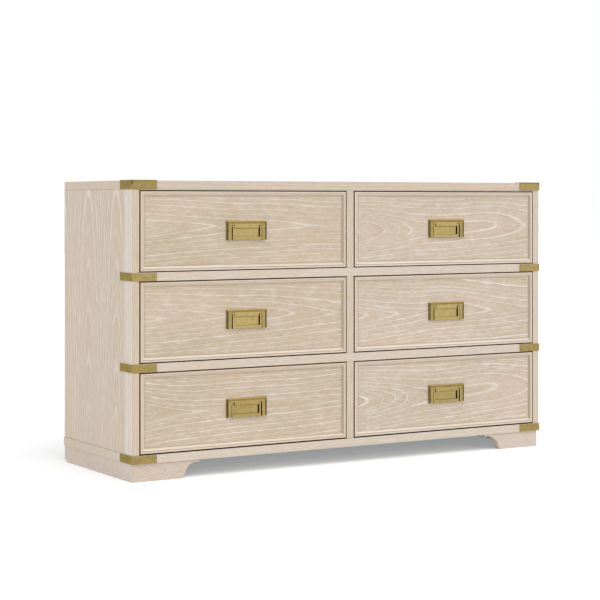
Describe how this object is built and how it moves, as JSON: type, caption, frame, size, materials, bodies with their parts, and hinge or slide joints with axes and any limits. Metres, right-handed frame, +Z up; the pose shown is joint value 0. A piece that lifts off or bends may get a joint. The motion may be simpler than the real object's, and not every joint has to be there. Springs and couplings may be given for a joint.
{
  "type": "dresser with drawers",
  "caption": "Low wide dresser with inset drawers side by side on wooden runners, brass corner brackets, arched bracket feet and flush bail pulls.",
  "frame": {"origin": "on the floor, at the middle of the outer box of the dresser with its drawers shut", "axes": "+X along the width to the right as seen from the front, +Y from the drawer fronts to the back, +Z up"},
  "size_m": [1.4774, 0.4862, 0.8656],
  "materials": {
    "limed_oak": "limed oak veneer, matt lacquer",
    "limed_oak_post": "limed solid oak, matt lacquer",
    "drawer_box_wood": "clear satin lacquer",
    "runner_wood": "waxed hardwood",
    "back_board": "plain plywood",
    "aged_brass": "brushed and aged brass"
  },
  "bodies": {
    "case": {"top_panel": "limed_oak", "base_panel": "limed_oak", "back_panel": "back_board", "back_foot": "limed_oak", "left_side_panel": "limed_oak", "right_side_panel": "limed_oak", "left_front_post": "limed_oak_post", "right_front_post": "limed_oak_post", "center_partition": "limed_oak", "lower_rail": "limed_oak", "upper_rail": "limed_oak", "top_front_rail": "limed_oak", "left_front_foot": "limed_oak", "right_front_foot": "limed_oak", "left_side_foot": "limed_oak", "right_side_foot": "limed_oak", "left_base_bracket": "aged_brass", "left_lower_rail_bracket": "aged_brass", "left_upper_rail_bracket": "aged_brass", "left_top_bracket": "aged_brass", "right_base_bracket": "aged_brass", "right_lower_rail_bracket": "aged_brass", "right_upper_rail_bracket": "aged_brass", "right_top_bracket": "aged_brass", "lower_left_runner_left": "runner_wood", "lower_left_runner_right": "runner_wood", "lower_right_runner_left": "runner_wood", "lower_right_runner_right": "runner_wood", "middle_left_runner_left": "runner_wood", "middle_left_runner_right": "runner_wood", "middle_right_runner_left": "runner_wood", "middle_right_runner_right": "runner_wood", "upper_left_runner_left": "runner_wood", "upper_left_runner_right": "runner_wood", "upper_right_runner_left": "runner_wood", "upper_right_runner_right": "runner_wood"},
    "lower_left_drawer": {"lower_left_drawer_front": "limed_oak", "lower_left_drawer_box": "drawer_box_wood", "lower_left_pull_plate": "aged_brass"},
    "lower_right_drawer": {"lower_right_drawer_front": "limed_oak", "lower_right_drawer_box": "drawer_box_wood", "lower_right_pull_plate": "aged_brass"},
    "middle_left_drawer": {"middle_left_drawer_front": "limed_oak", "middle_left_drawer_box": "drawer_box_wood", "middle_left_pull_plate": "aged_brass"},
    "middle_right_drawer": {"middle_right_drawer_front": "limed_oak", "middle_right_drawer_box": "drawer_box_wood", "middle_right_pull_plate": "aged_brass"},
    "upper_left_drawer": {"upper_left_drawer_front": "limed_oak", "upper_left_drawer_box": "drawer_box_wood", "upper_left_pull_plate": "aged_brass"},
    "upper_right_drawer": {"upper_right_drawer_front": "limed_oak", "upper_right_drawer_box": "drawer_box_wood", "upper_right_pull_plate": "aged_brass"},
    "lower_left_bail": {"lower_left_pull_bail": "aged_brass"},
    "lower_right_bail": {"lower_right_pull_bail": "aged_brass"},
    "middle_left_bail": {"middle_left_pull_bail": "aged_brass"},
    "middle_right_bail": {"middle_right_pull_bail": "aged_brass"},
    "upper_left_bail": {"upper_left_pull_bail": "aged_brass"},
    "upper_right_bail": {"upper_right_pull_bail": "aged_brass"}
  },
  "joints": [
    {"name": "lower_left_drawer_slide", "type": "slide", "parent": "case", "child": "lower_left_drawer", "axis": [0, -1, 0], "range_m": [0, 0.3]},
    {"name": "lower_right_drawer_slide", "type": "slide", "parent": "case", "child": "lower_right_drawer", "axis": [0, -1, 0], "range_m": [0, 0.3]},
    {"name": "middle_left_drawer_slide", "type": "slide", "parent": "case", "child": "middle_left_drawer", "axis": [0, -1, 0], "range_m": [0, 0.3]},
    {"name": "middle_right_drawer_slide", "type": "slide", "parent": "case", "child": "middle_right_drawer", "axis": [0, -1, 0], "range_m": [0, 0.3]},
    {"name": "upper_left_drawer_slide", "type": "slide", "parent": "case", "child": "upper_left_drawer", "axis": [0, -1, 0], "range_m": [0, 0.3]},
    {"name": "upper_right_drawer_slide", "type": "slide", "parent": "case", "child": "upper_right_drawer", "axis": [0, -1, 0], "range_m": [0, 0.3]},
    {"name": "lower_left_bail_hinge", "type": "hinge", "parent": "lower_left_drawer", "child": "lower_left_bail", "pos_m": [-0.3627, -0.2401, 0.2071], "axis": [-1, 0, 0], "range_deg": [0, 90]},
    {"name": "lower_right_bail_hinge", "type": "hinge", "parent": "lower_right_drawer", "child": "lower_right_bail", "pos_m": [0.3627, -0.2401, 0.2071], "axis": [-1, 0, 0], "range_deg": [0, 90]},
    {"name": "middle_left_bail_hinge", "type": "hinge", "parent": "middle_left_drawer", "child": "middle_left_bail", "pos_m": [-0.3627, -0.2401, 0.4689], "axis": [-1, 0, 0], "range_deg": [0, 90]},
    {"name": "middle_right_bail_hinge", "type": "hinge", "parent": "middle_right_drawer", "child": "middle_right_bail", "pos_m": [0.3627, -0.2401, 0.4689], "axis": [-1, 0, 0], "range_deg": [0, 90]},
    {"name": "upper_left_bail_hinge", "type": "hinge", "parent": "upper_left_drawer", "child": "upper_left_bail", "pos_m": [-0.3627, -0.2401, 0.7307], "axis": [-1, 0, 0], "range_deg": [0, 90]},
    {"name": "upper_right_bail_hinge", "type": "hinge", "parent": "upper_right_drawer", "child": "upper_right_bail", "pos_m": [0.3627, -0.2401, 0.7307], "axis": [-1, 0, 0], "range_deg": [0, 90]}
  ]
}
